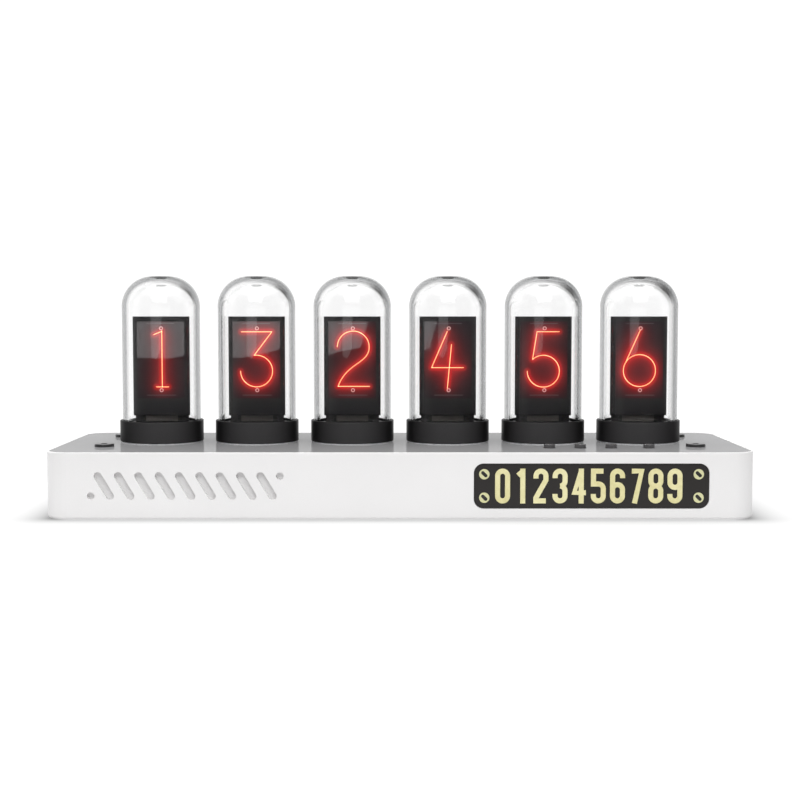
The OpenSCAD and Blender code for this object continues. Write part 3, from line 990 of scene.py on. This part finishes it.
# The collar's side colour is painted shade where its round side is seen at a slant.
COLLAR_BLACK = Moulded(
    "collar_black", srgb(72, 71, 72), srgb(66, 65, 66), (0.28, 0.36), dust=0.03, gloss=1.1, side=srgb(34, 33, 34)
)
BUTTON_BLACK = Moulded("button_black", srgb(98, 97, 98), srgb(84, 83, 84), (0.18, 0.3))
BLACK_PLASTIC = Moulded(
    "black_plastic", srgb(36, 36, 37), srgb(26, 26, 27), (0.4, 0.55), grain=2600.0, depth=0.000008
)
BLACK_PLATE = Moulded(
    "black_plate", srgb(37, 33, 31), srgb(30, 27, 26), (0.3, 0.42), grain=3400.0, depth=0.000004, dust=0.04
)
BLACK_STEEL = Moulded("black_steel", srgb(66, 65, 66), srgb(50, 50, 51), (0.24, 0.36), grain=2800.0, depth=0.000006)
PLUG_DARK = Moulded("plug_dark", srgb(18, 18, 19), srgb(12, 12, 13), (0.5, 0.65), depth=0.000006, dust=0.0)
DISPLAY_GLASS = Moulded("display_glass", srgb(71, 70, 71), srgb(65, 64, 65), (0.45, 0.55), dust=0.0, gloss=1.25)
FLEX_FILM = Moulded(
    "flex_film", srgb(148, 143, 140), srgb(128, 124, 122), (0.3, 0.42), grain=2200.0, depth=0.000006, dust=0.0
)
PLATE_GOLD = Moulded(
    "plate_gold", srgb(244, 238, 190), srgb(214, 204, 138), (0.3, 0.45), grain=700.0, depth=0.000004, dust=0.02
)
PLATE_BRASS = Moulded(
    "plate_brass",
    srgb(224, 223, 178),
    srgb(208, 205, 148),
    (0.26, 0.4),
    grain=2200.0,
    depth=0.000004,
    dust=0.02,
    gloss=1.6,
    painted_recess=SCREW_SLOT_PAINTED_SHADE,
)
GREY_PANEL = PolishedPanel("grey_panel", srgb(149, 149, 150), srgb(141, 141, 142), (0.4, 0.55), coat=0.34)
# The dome's edge colour is painted shade on its wall seen edge on.
CLEAR_DOME = ClearPlastic("clear_dome", srgb(254, 254, 254), srgb(106, 107, 108), (0.0, 0.008))
CLEAR_RING = Lamp("clear_ring", srgb(196, 199, 203), light=0.04)
LED_WHITE = Lamp("led_white", srgb(250, 226, 150), light=0.4)
PLATED_STEEL = Metal("plated_steel", srgb(198, 198, 196), srgb(160, 160, 158), (0.22, 0.4))
CONTACT_GOLD = Metal("contact_gold", srgb(224, 184, 98), srgb(190, 148, 70), (0.18, 0.34))
CAN_ALUMINIUM = Metal("can_aluminium", srgb(206, 208, 210), srgb(168, 170, 172), (0.2, 0.36))
GREEN_BOARD = Board("green_board", srgb(18, 62, 40), srgb(30, 92, 56), srgb(201, 162, 84))
DARK_BOARD = Board("dark_board", srgb(82, 81, 82), srgb(98, 96, 98), srgb(122, 116, 102))
DIGIT_PICTURE = Picture("digit_picture")


# Sub-assemblies


class Digit(Enum):
    """Digits that the displays show."""

    ONE = 1
    TWO = 2
    THREE = 3
    FOUR = 4
    FIVE = 5
    SIX = 6

    def strokes(self) -> list[np.ndarray]:
        """Paths of the glowing strokes, in millimetres to the right of and above the picture's middle."""
        match self:
            case Digit.ONE:
                return [
                    chain((0.48, 8.75), (0.48, -9.0)),
                    chain((-2.05, 7.47), (0.48, 8.5)),
                    chain((-1.35, -8.87), (2.45, -8.87)),
                ]
            case Digit.TWO:
                bend = sweep_bend([(5.29, 3.66), (5.29, -1.64), (-1.67, -1.19), (-4.38, -8.71)])
                return [chain(arc((0.36, 3.66), 4.93, 180, 0), bend, (5.4, -8.71))]
            case Digit.THREE:
                return [chain((-4.65, 8.37), (4.85, 8.37), arc((0.05, -3.9), 4.96, 98, -180, 40))]
            case Digit.FOUR:
                return [chain((-0.22, 8.5), (-5.05, -2.84), (4.88, -2.84)), chain((1.1, 4.42), (-0.16, -9.35))]
            case Digit.FIVE:
                return [chain((4.8, 8.39), (-2.1, 8.39), arc((-0.09, -3.95), 4.98, 132.5, -180, 40))]
            case _:
                return [arc((0.02, -3.76), 4.99, 0, 360, 60), chain((0.21, 9.0), (-4.02, -0.6))]


@dataclass
class Tube:
    """One tube: its collar, display, carrier, clear dome and the picture on its display.

    The film's own measures are in millimetres from its middle, and the other lengths are in metres.
    """

    number: int
    digit: Digit
    wall: float = 1.8 * MM
    top: float = 2.3 * MM
    shoulder: float = 9.6 * MM
    plug_radius: float = 1.8 * MM
    plug_depth: float = 0.7 * MM
    around: int = 160
    shoulder_steps: int = 40
    wall_rows: int = 12
    # Share of the dome's painted edge shade on its inner skin.
    inner_painted_rim_weight: float = 0.12
    film_lift: float = 0.05 * MM
    film_middle: float = 46.45
    film_half: float = 7.34
    film_span: Pair = (-12.45, 11.6)
    film_step: float = 0.1
    halo_shares: tuple[Pair, ...] = ((1.1, 0.85), (2.5, 0.15))
    eyelets: tuple[Pair, ...] = ((0.25, 9.45), (0.25, -9.9))
    eyelet_radius: float = 0.48
    lines: tuple[tuple[Pair, Pair], ...] = (((-4.2, 10.97), (4.2, 10.97)), ((-4.2, -11.45), (4.65, -11.45)))

    def build(self) -> None:
        """Makes the dome and the film, and dresses the tube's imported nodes."""
        COLLAR_BLACK.dress(f"collar_{self.number}")
        DISPLAY_GLASS.dress(f"display_{self.number}")
        DARK_BOARD.dress(f"carrier_{self.number}")
        self.build_film()
        self.build_dome()

    def dome_profile(self, low: float, high: float, radius: float) -> np.ndarray:
        """Half section of the dome: a straight wall, a quarter-circle shoulder and a flat top with a plug seat.

        Args:
            low: Height of the dome's foot.
            high: Height of its top.
            radius: Outer radius.

        Returns:
            Array of radius and height, from the plug seat over the outside to the inner top.
        """
        outer = arc((radius - self.shoulder, high - self.shoulder), self.shoulder, 90, 0, self.shoulder_steps)
        inner_r = self.shoulder - self.wall
        ceiling = high - self.top
        inner = arc((radius - self.shoulder, ceiling - inner_r), inner_r, 0, 90, self.shoulder_steps)
        seat = high - self.plug_depth
        wall_z = np.linspace(high - self.shoulder, low, self.wall_rows)[1:]
        outer_wall = np.stack([np.full_like(wall_z, radius), wall_z], axis=-1)
        inner_z = np.linspace(low, ceiling - inner_r, self.wall_rows)[:-1]
        inner_wall = np.stack([np.full_like(inner_z, radius - self.wall), inner_z], axis=-1)
        plug = [(0, seat), (self.plug_radius, seat), (self.plug_radius, high)]
        return chain(plug, outer, outer_wall, inner_wall, inner, (0, ceiling))

    def build_dome(self) -> None:
        """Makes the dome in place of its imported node."""
        node = f"dome_{self.number}"
        low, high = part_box(node)
        profile = self.dome_profile(low.z, high.z, (high.x - low.x) / 2)
        points, faces = lathe_surface(profile, self.around)
        if signed_volume(points, faces) < 0:
            faces = [f[::-1] for f in faces]
        points = points + np.array([(low.x + high.x) / 2, (low.y + high.y) / 2, 0])
        piece = add_piece(f"clear_dome_{self.number}", points, faces, "clear_dome", CLEAR_DOME)
        # Weight of the painted edge shade: full on the outer skin, a small share inside.
        foot = int(np.argmin(profile[:, 1]))
        skin = np.where(np.arange(1, len(profile) - 1) <= foot, 1, self.inner_painted_rim_weight)
        carry(piece, outer_skin=np.concatenate([np.repeat(skin, self.around), [1, self.inner_painted_rim_weight]]))
        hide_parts(node)

    def build_film(self) -> None:
        """Makes the film: a flat grid just before the display, with an upright border down to the display."""
        low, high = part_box(f"display_{self.number}")
        sides = ((-self.film_half, self.film_half), self.film_span)
        across, up = (np.linspace(a, b, round((b - a) / self.film_step) + 1) for a, b in sides)
        u, v = np.meshgrid(np.pad(across, 1, mode="edge"), np.pad(up, 1, mode="edge"))
        y = np.full_like(u, low.y)
        y[1:-1, 1:-1] -= self.film_lift
        middle_x = (low.x + high.x) / 2
        points = np.stack([middle_x + u * MM, y, (self.film_middle + v) * MM], axis=-1).reshape(-1, 3)
        flat = np.stack([u.ravel(), v.ravel()], axis=-1)
        piece = add_piece(
            f"digit_film_{self.number}", points, grid_quads(*u.shape)[:, ::-1], "display_glass", DIGIT_PICTURE
        )
        strokes = self.digit.strokes()
        marks = [arc(centre, self.eyelet_radius, 0, 360) for centre in self.eyelets]
        carry(
            piece,
            stroke_gap=gap_to_paths(flat, strokes) ** 2,
            stroke_halo=spread_light(flat, strokes, self.halo_shares),
            mark_gap=gap_to_paths(flat, marks),
            line_gap=gap_to_paths(flat, [chain(*ends) for ends in self.lines]),
        )


@dataclass
class Plate:
    """Name plate at the right of the front, with plain numbers and four screws. Lengths are in millimetres."""

    digits: str = "0123456789"
    height: float = 8.75
    half_width: float = 1.45
    stroke: float = 0.75
    rise: float = 0.2
    lap: float = 0.012
    start_x: float = 30.0
    end_x: float = 80.4

    def glyph(self, digit: str) -> list[tuple[np.ndarray, bool]]:
        """Middle lines of one number, built of straight runs and half circles.

        Args:
            digit: The number as a character.

        Returns:
            Paths in millimetres from the middle of the number's foot, and whether each is closed.
        """
        h, w, e = self.height, self.half_width, self.stroke
        m = h / 2
        cap, cup = (0.0, h - w), (0.0, w)
        match digit:
            case "0":
                return [(chain(arc(cap, w, 180, 0), arc(cup, w, 0, -180)), True)]
            case "1":
                return [(chain((0.3, -e), (0.3, h + e)), False), (chain((-1.1, h - 1.3), (0.3, h - 0.05)), False)]
            case "2":
                foot = [(w, h - w - 1.2), (-w, 0.9), (-w, 0), (w, 0)]
                return [(chain((-w, h - w - 0.7), arc(cap, w, 180, 0), foot), False)]
            case "3":
                upper = chain((-w, h - w - 0.6), arc(cap, w, 180, 0), arc((0, m + w), w, 0, -90, 12))
                lower = chain(arc((0, m - w), w, 90, 0, 12), arc(cup, w, 0, -180), (-w, w + 0.6))
                return [(upper, False), (lower, False)]
            case "4":
                return [(chain((0.6, -e), (0.6, h + e)), False), (chain((0.6, h), (-w, 2.4), (w + 0.5, 2.4)), False)]
            case "5":
                bowl = chain((0, m + 0.6), arc((0, m + 0.6 - w), w, 90, 0, 12), arc(cup, w, 0, -180), (-w, w + 0.6))
                return [(chain((w, h), (-w, h), (-w, m + 0.6), bowl), False)]
            case "6":
                return [(path, False) for path in self.six()]
            case "7":
                return [(chain((-w, h), (w, h), (-0.6, -e)), False)]
            case "8":
                upper = chain(arc(cap, w, 180, 0), arc((0, m + w), w, 0, -180))
                lower = chain(arc((0, m - w), w, 180, 0), arc(cup, w, 0, -180))
                return [(upper, True), (lower, True)]
            case _:
                return [(np.array([0.0, h]) - path, False) for path in self.six()]

    def six(self) -> list[np.ndarray]:
        """Middle lines of a six: a hook over the top and down the left side, and the rest of the lower loop."""
        h, w = self.height, self.half_width
        hook = chain((w, h - w - 0.6), arc((0, h - w), w, 0, 180), arc((0, w), w, 180, 360))
        return [hook, chain(arc((0, h / 2 - w + 0.4), w, 180, 0), (w, w - 0.2))]

    def build(self) -> None:
        """Dresses the plate and its screws, and makes the numbers, with the second path of each a little lower."""
        BLACK_PLATE.dress("name_plate")
        PLATE_BRASS.dress("plate_screws")
        low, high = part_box("name_plate")
        foot = (low.z + high.z) / 2 - self.height / 2 * MM
        places = np.linspace(self.start_x, self.end_x, len(self.digits))
        parts = []
        for digit, x in zip(self.digits, places):
            for order, (path, closed) in enumerate(self.glyph(digit)):
                ribbon, quads = ribbon_surface(path, self.stroke, self.rise - self.lap * order, closed)
                parts.append((np.stack([ribbon[:, 0] + x, -ribbon[:, 2], ribbon[:, 1]], axis=-1), quads))
        points, faces = joined(parts)
        points = points * MM + np.array([0, low.y, foot])
        add_piece("plate_numbers", points, faces, "plate_brass", PLATE_GOLD, smooth=False)


@dataclass
class Housing:
    """White housing with its feet and the power inlet at the back."""

    contact_count: int = 12
    contact_pitch: float = 0.5 * MM
    contact_width: float = 0.26 * MM
    contact_length: float = 3.2 * MM
    contact_inset: float = 0.3 * MM
    contact_rise: float = 0.03 * MM

    def build(self) -> None:
        """Dresses the housing's nodes and makes the inlet's contacts."""
        WHITE_SHELL.dress("housing")
        FOOT_RUBBER.dress("feet")
        PLATED_STEEL.dress("usb_shell")
        BLACK_PLASTIC.dress("usb_tongue")
        self.build_contacts()

    def build_contacts(self) -> None:
        """Makes a row of flat gold contacts on each side of the inlet's tongue, as shallow ribbons."""
        low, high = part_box("usb_tongue")
        x = (np.arange(self.contact_count) - (self.contact_count - 1) / 2) * self.contact_pitch
        run = np.array([[0, high.y - self.contact_length], [0, high.y - self.contact_inset]])
        half = self.contact_width / 2
        parts = []
        for side, level in ((1, high.z), (-1, low.z)):
            for place in x:
                ribbon, quads = ribbon_surface(run + np.array([place, 0]), half, self.contact_rise, False)
                ribbon[:, 2] = level + side * ribbon[:, 2]
                parts.append((ribbon, [quad[::side] for quad in quads]))
        add_piece("inlet_contacts", *joined(parts), "contact_gold", CONTACT_GOLD, smooth=False)


@dataclass
class TopDeck:
    """Polished panel with its screws, buttons and the clear rings and plugs of the tubes."""

    buttons: tuple[str, ...] = ("button_left", "button_mode", "button_right", "button_power")

    def build(self) -> None:
        """Dresses the nodes on and around the panel."""
        GREY_PANEL.dress("top_panel")
        BLACK_STEEL.dress("panel_screws")
        BUTTON_BLACK.dress(*self.buttons)
        CLEAR_RING.dress("light_rings")
        PLUG_DARK.dress("dome_plugs")


@dataclass
class Works:
    """Boards and parts inside the housing and behind the displays."""

    finishes: dict[Finish, tuple[str, ...]] = field(
        default_factory=lambda: {
            GREEN_BOARD: ("main_board",),
            DARK_BOARD: ("controller_board",),
            PLATED_STEEL: ("board_spacers", "controller_shield", "coin_cell"),
            CAN_ALUMINIUM: ("capacitors",),
            CONTACT_GOLD: ("cell_clip", "snap_discs", "contact_pins"),
            BLACK_PLASTIC: (
                "cell_holder",
                "voltage_regulator",
                "clock_chip",
                "switch_bodies",
                "tube_sockets",
                "pin_strips",
                "carrier_parts",
            ),
            LED_WHITE: ("backlight_leds",),
            FLEX_FILM: ("display_flexes",),
        }
    )

    def build(self) -> None:
        """Dresses the inner nodes."""
        for finish, nodes in self.finishes.items():
            finish.dress(*nodes)


# Studio


@dataclass
class Studio:
    """Floor, world, lights and camera."""

    camera_place: Triple = (0.0, -0.4594, 0.0633)
    camera_tilt: float = 0.065
    lens: float = 65.97
    sensor: float = 36.0
    nearest: float = 0.01
    floor_radii: Pair = (0.001, 0.22)
    floor_rings: int = 9
    floor_steps: int = 96
    card_foot_x: Pair = (-0.125, -0.008)
    card_foot_z: Pair = (0.0291, 0.0361)
    card_side_x: Pair = (-0.0107, 0.0082)
    card_side_z: Pair = (0.0373, 0.0524)
    card_fades: Pair = (0.0008, 0.003)

    def build(self) -> None:
        """Makes everything around the clock."""
        view = bpy.context.scene.view_settings
        view.view_transform = "Standard"
        view.look = "None"
        self.build_camera()
        self.build_floor()
        self.build_world()
        self.build_lights()

    def build_camera(self) -> None:
        """Makes the camera where the photograph was taken from."""
        data = bpy.data.cameras.new("camera")
        data.lens = self.lens
        data.sensor_width = self.sensor
        data.clip_start = self.nearest
        camera = bpy.data.objects.new("camera", data)
        camera.location = self.camera_place
        camera.rotation_euler = (math.pi / 2 - self.camera_tilt, 0, 0)
        bpy.context.scene.collection.objects.link(camera)
        bpy.context.scene.camera = camera

    def build_floor(self) -> None:
        """Makes a flat round pale floor under the clock: rings of points with a radius in equal steps."""
        rings, steps = self.floor_rings, self.floor_steps
        radius = np.linspace(*self.floor_radii, rings)[:, None]
        angle = np.linspace(0, 2 * np.pi, steps, endpoint=False)[None, :]
        places = np.broadcast_arrays(radius * np.cos(angle), radius * np.sin(angle), 0.0)
        points = np.stack(places, axis=-1).reshape(-1, 3)
        mesh = bpy.data.meshes.new("floor")
        faces = grid_quads(rings, steps, wrap_cols=True).tolist() + [list(range(steps))]
        mesh.from_pydata(points.tolist(), [], faces)
        floor = bpy.data.objects.new("floor", mesh)
        bpy.context.scene.collection.objects.link(floor)
        mesh.materials.append(FLOOR_PAPER.material())

    def build_world(self) -> None:
        """Makes a room with a white window behind the clock, grey sides, a dark low front and a bright ceiling.

        The camera itself sees plain white.
        """
        world = bpy.data.worlds.new("studio")
        bpy.context.scene.world = world
        world.use_nodes = True
        graph = Graph(world.node_tree)
        world.node_tree.nodes.clear()
        toward = graph.add("ShaderNodeTexCoord").outputs["Generated"]
        x, y, z = graph.add("ShaderNodeSeparateXYZ", {0: toward}).outputs
        back = graph.span(x, (-0.5, 0.5), (1.1, graph.span(z, (0.15, 0.45), (0.85, 0.12))))
        side = graph.span(x, (-0.9, 0.9), (0.16, 0.02))
        front = graph.span(y, (-0.7, -0.3), (0.08, 1.0))
        turn = graph.span(y, (-0.2, 0.3), UNIT)
        low = graph.sum("MULTIPLY", graph.add("ShaderNodeMix", {0: turn, 2: side, 3: back}).outputs[0], front)
        opening = graph.span(y, (0.84, 0.9), UNIT)
        window = graph.sum("MULTIPLY", opening, graph.span(y, (0.95, 0.985), (1.12, 1.08)))
        high = graph.span(z, (0.6, 0.8), UNIT)
        light = graph.sum("MAXIMUM", graph.sum("MAXIMUM", low, high), window)
        seen = graph.add("ShaderNodeLightPath").outputs["Is Camera Ray"]
        strength = graph.sum("MAXIMUM", light, seen)
        background = graph.add("ShaderNodeBackground", {"Color": WHITE, "Strength": strength})
        graph.add("ShaderNodeOutputWorld", {"Surface": background.outputs[0]})

    def add_light(self, name: str, place: Triple, tilt: float, size: Pair, power: float) -> bpy.types.AreaLight:
        """Makes one flat soft light.

        Args:
            name: Name of the light.
            place: Middle of the light, in metres.
            tilt: Turn about X in radians, with no turn shining down.
            size: Width and height, in metres.
            power: Power in watts.

        Returns:
            The light's data.
        """
        data = bpy.data.lights.new(name, "AREA")
        data.shape = "RECTANGLE"
        data.size, data.size_y = size
        data.energy = power
        light = bpy.data.objects.new(name, data)
        light.location = place
        light.rotation_euler = (tilt, 0, 0)
        bpy.context.scene.collection.objects.link(light)
        return data

    def slant_card(self, data: bpy.types.AreaLight) -> None:
        """Lets a card shine only above one slanting line and to the left of another.

        Args:
            data: The card's light.
        """
        data.use_nodes = True
        graph = Graph(data.node_tree)
        place = graph.add("ShaderNodeNewGeometry").outputs["Position"]
        x, _, z = graph.add("ShaderNodeSeparateXYZ", {0: place}).outputs
        above = graph.sum("SUBTRACT", z, graph.span(x, self.card_foot_x, self.card_foot_z))
        beside = graph.sum("SUBTRACT", graph.span(z, self.card_side_z, self.card_side_x), x)
        parts = [graph.span(gap, (0.0, fade), UNIT) for gap, fade in zip((above, beside), self.card_fades)]
        lit = graph.sum("MULTIPLY", *parts)
        graph.tree.links.new(lit, graph.tree.nodes["Emission"].inputs["Strength"])

    def build_lights(self) -> None:
        """Makes the overhead light, the high front light and the card at the front left."""
        self.add_light("overhead", (0.0, 0.0, 1.2), tilt=0.0, size=(1.4, 1.0), power=5.5)
        self.add_light("high_front", (0.0, -0.9, 0.9), tilt=math.radians(48), size=(0.9, 0.5), power=8.2)
        card_place, card_size = (-0.1288, -0.47, 0.0671), (0.2746, 0.0774)
        self.slant_card(self.add_light("front_card", card_place, tilt=math.pi / 2, size=card_size, power=0.0467))


def main() -> None:
    """Builds the clock's sub-assemblies in order, then the studio."""
    logging.basicConfig(level=logging.INFO, format="%(name)s: %(message)s")
    Housing().build()
    TopDeck().build()
    Plate().build()
    Works().build()
    for number, digit in enumerate((Digit.ONE, Digit.THREE, Digit.TWO, Digit.FOUR, Digit.FIVE, Digit.SIX), 1):
        Tube(number, digit).build()
    Studio().build()


if __name__ == "__main__":
    main()
